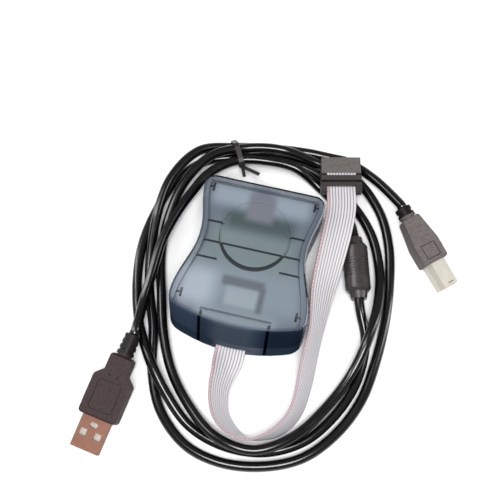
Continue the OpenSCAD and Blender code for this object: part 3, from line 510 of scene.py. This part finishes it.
# a lighter patch in the middle of the lower shell's front, over its painted shade
CHIN_TONES = [((3, -34), (6, 8), 7, (76, 83, 95))]
SMOKE = (100, 109, 121)
SKINS = {
    "deck": skin("casing_deck", SMOKE, 0.13, 0.2, CLOUDS, dense=0.62),
    "edge": skin("casing_edge", (66, 76, 90), 0.85, 0.4, specular=0.05),
    # painted shade: near black along the rear top fillet, which turns from the light
    "shaded_rear_edge": skin("casing_rear_edge", (8, 10, 15), 0.97, 0.4, specular=0.05),
    # painted highlight: pale grey along the right top fillet
    "highlit_right_edge": skin("casing_right_edge", (140, 144, 149), 0.8, 0.2),
    "ceiling": skin("casing_ceiling", SMOKE, 0.8, 0.5, CLOUDS, specular=0.1, clear=0.04),
    "rib": skin("casing_rib", (12, 17, 26), 0.97, 0.5, specular=0.05),
    "faint_rib": skin("casing_faint_rib", (148, 157, 164), 1.0, 0.5, specular=0.05),
    "ghost": skin("casing_ghost", (178, 190, 196), 0.92, 0.5, specular=0.05),
    "contact": skin("casing_contact", (46, 56, 66), 0.04, 0.5, specular=0.0),
    "rim": skin("casing_rim", (90, 101, 115), 1.0, 0.5, specular=0.1),
    # painted shade: the nose is a dark copy of the smoky plastic for the front faces turned from the
    # light, with painted light and shade patches
    "nose": skin("casing_nose_painted_shade", (36, 48, 64), 1.0, 0.3, NOSE_LIGHT_AND_SHADE + BARS, specular=0.0),
    # painted shade: the outer side and rear walls are a dark copy of the smoky plastic, for the faces
    # turned from the light
    "shaded_flank": skin("casing_flank", (44, 55, 72), 0.85, 0.25, specular=0.1),
    "lining": skin("casing_lining", (66, 78, 93), 1.0, 0.45, specular=0.1),
    "floor": skin("casing_floor", (116, 126, 136), 1.0, 0.5, specular=0.1),
    "underside": skin("casing_underside", (70, 82, 98), 1.0, 0.35),
    # painted shade: the lower shell's front is a dark copy of the smoky plastic, for the faces turned
    # from the light
    "shaded_chin": skin("casing_chin", (36, 47, 61), 1.0, 0.3, CHIN_TONES + BARS, specular=0.0)}


def clothe(name, part):
    mesh = nodes[name].data
    mesh.materials.clear()
    kinds = list(SKINS)
    for k in kinds:
        mesh.materials.append(SKINS[k])
    for f in mesh.polygons:
        f.material_index = kinds.index(part(f.center / MM, f.normal))


clothe("top_shell", top_part)
clothe("bottom_shell", bottom_part)

# Inside the casing, and the contacts of the plugs and sockets
white = surface("white_plastic", (228, 226, 220), 0.5, vary=0.04)
gold = surface("gold_plate", (206, 168, 90), 0.28, metal=1.0, vary=0.08)
black = surface("header_black", (34, 34, 37), 0.5)
paint("circuit_board", surface("board_green", (70, 104, 84), 0.45, vary=0.18, scale=260))
paint("usb_socket_can", surface("socket_steel", (118, 120, 129), 0.6, metal=0.3, vary=0.06))
paint("flat_plug_tongue", surface("cream_plastic", (186, 178, 166), 0.5, vary=0.05))
for n in ("usb_socket_tongue", "square_plug_core"):
    paint(n, white)
for n in ("usb_socket_contacts", "header_pins", "outer_socket_contacts", "flat_plug_contacts",
          "square_plug_contacts"):
    paint(n, gold)
for n in ("box_header", "inner_socket_body"):
    paint(n, black)
paint("inner_socket_cover", surface("cover_grey", (70, 74, 82), 0.5))
paint("controller_chip", surface("chip_black", (26, 27, 28), 0.55))
paint("regulator", surface("regulator_black", (30, 30, 32), 0.55))
paint("chip_leads", surface("tin_leads", (190, 192, 196), 0.35, metal=1.0))
paint("crystal", surface("crystal_steel", (150, 152, 156), 0.5, metal=0.5))
paint("reservoir_capacitor", surface("can_aluminium", (150, 153, 159), 0.5, metal=0.5))
paint("chip_capacitors", surface("tan_ceramic", (170, 138, 96), 0.5))
paint("chip_resistors", surface("dark_ceramic", (38, 38, 41), 0.5))
paint("status_leds", surface("lamp_green", (132, 200, 138), 0.25))

# Outer socket
paint("outer_socket_body", surface("socket_charcoal", (84, 80, 78), 0.5, vary=0.2, scale=900,
                                   grain=0.00006, grain_scale=1800))
paint("outer_socket_cover", surface("socket_dark", (44, 41, 40), 0.5, vary=0.2, scale=900))
paint("outer_socket_clip", surface("clip_dark", (40, 37, 36), 0.45, vary=0.2, scale=900))

# Plugs: the strain reliefs are blacker than the grips, and the sunk marks take the same black as painted
# shade in their recesses
FLAT_AT, FLAT_TURN, FLAT_RELIEF = (-45.6, -73.5), -9.1, 27.2
SQUARE_AT, SQUARE_TURN, SQUARE_RELIEF = (75.9, 22.2), 41.4, 22.6
# Boxes that hold the marks: from, to and half width, in millimetres along and across the plug
FLAT_MARKS = [(0.5, 18, 6.6), (20, 26, 2.6)]
SQUARE_MARKS = [(0.8, 8.4, 4)]
GRIP_TOP_Z = 7
MARK_LEAST, MARK_MOST = 0.05, 1
relief_black_and_mark_shade = surface("relief_black_and_mark_shade", (24, 21, 22), 0.4, vary=0.15, scale=500, specular=0.15)


def grip_skin(name, rgb, vary):
    return surface(name, rgb, 0.6, specular=0.12, vary=vary, scale=1100, grain=0.00012,
                   grain_scale=2600)


def grip(name, at, turn, relief, marks, mat):
    # relief: where the strain relief begins along the plug
    mesh = paint(name, mat).data
    mesh.materials.append(relief_black_and_mark_shade)
    origin = Vector((*at, 0))
    way = Vector((-math.sin(math.radians(turn)), math.cos(math.radians(turn)), 0))
    first, last, _ = marks[0]
    top = max((q for q in mesh.polygons if q.normal.z > 0.9 and q.center.z > GRIP_TOP_Z * MM
               and first < (q.center / MM - origin).dot(way) < last), key=lambda q: q.area)
    up, height = top.normal.copy(), top.center.dot(top.normal)
    for face in mesh.polygons:
        c = face.center / MM - origin
        d, across = c.dot(way), abs(c.x * way.y - c.y * way.x)
        low = (height - face.center.dot(up)) / MM
        # faces sunk into the marks get the black as painted shade
        shaded_mark = MARK_LEAST < low < MARK_MOST and any(a < d < b and across < half for a, b, half in marks)
        face.material_index = 1 if d > relief or shaded_mark else 0


paint("flat_plug_shell", surface("rose_metal", (112, 72, 54), 0.5, metal=0.35, vary=0.07, scale=500,
                                 grain=0.00002))
paint("square_plug_shell", surface("cream_metal", (186, 182, 170), 0.36, metal=0.25, vary=0.03))
grip("flat_plug_grip", FLAT_AT, FLAT_TURN, FLAT_RELIEF, FLAT_MARKS,
     grip_skin("grip_brown", (58, 47, 47), 0.16))
grip("square_plug_grip", SQUARE_AT, SQUARE_TURN, SQUARE_RELIEF, SQUARE_MARKS,
     grip_skin("grip_grey", (96, 90, 88), 0.15))
paint("filter_core", surface("ferrite_grey", (58, 58, 60), 0.6))
paint("filter_sleeve", surface("sleeve_black", (50, 46, 46), 0.28, vary=0.18, scale=500,
                               grain=0.00005))
paint("twist_tie", surface("tie_black", (34, 31, 30), 0.35))

# Floor, sky and soft lights
FLOOR_HALF, FLOOR_Z = 3.0, -0.0004
SKY_STRENGTH = 0.32
floor_mesh = bpy.data.meshes.new("floor")
corners = [(x * FLOOR_HALF, y * FLOOR_HALF, 0) for x, y in ((-1, -1), (1, -1), (1, 1), (-1, 1))]
floor_mesh.from_pydata(corners, [], [(0, 1, 2, 3)])
floor = bpy.data.objects.new("floor", floor_mesh)
floor.location = (0, 0, FLOOR_Z)
scene.collection.objects.link(floor)
floor_mesh.materials.append(surface("floor_pale", (246, 246, 246), 0.9, vary=0.0, grain=0,
                                    specular=0.1))
world = bpy.data.worlds.new("studio")
scene.world = world
world.use_nodes = True
sky = world.node_tree.nodes["Background"].inputs
sky["Color"].default_value = (1, 1, 1, 1)
sky["Strength"].default_value = SKY_STRENGTH


def area(name, at, size, power):
    d = bpy.data.lights.new(name, "AREA")
    d.shape = "RECTANGLE"
    d.size, d.size_y = size
    d.energy = power
    o = bpy.data.objects.new(name, d)
    o.location = at
    o.rotation_euler = (-Vector(at)).to_track_quat("-Z", "Y").to_euler()
    scene.collection.objects.link(o)


area("top", (0.06, -0.28, 0.86), (0.36, 0.36), 7.8)
area("key", (-0.55, 0.05, 0.75), (0.45, 0.45), 1.6)
area("strip_left", (-0.5, 0.1, 0.42), (0.06, 1.0), 1.6)
area("strip_right", (0.55, 0.15, 0.16), (0.06, 1.0), 1.6)
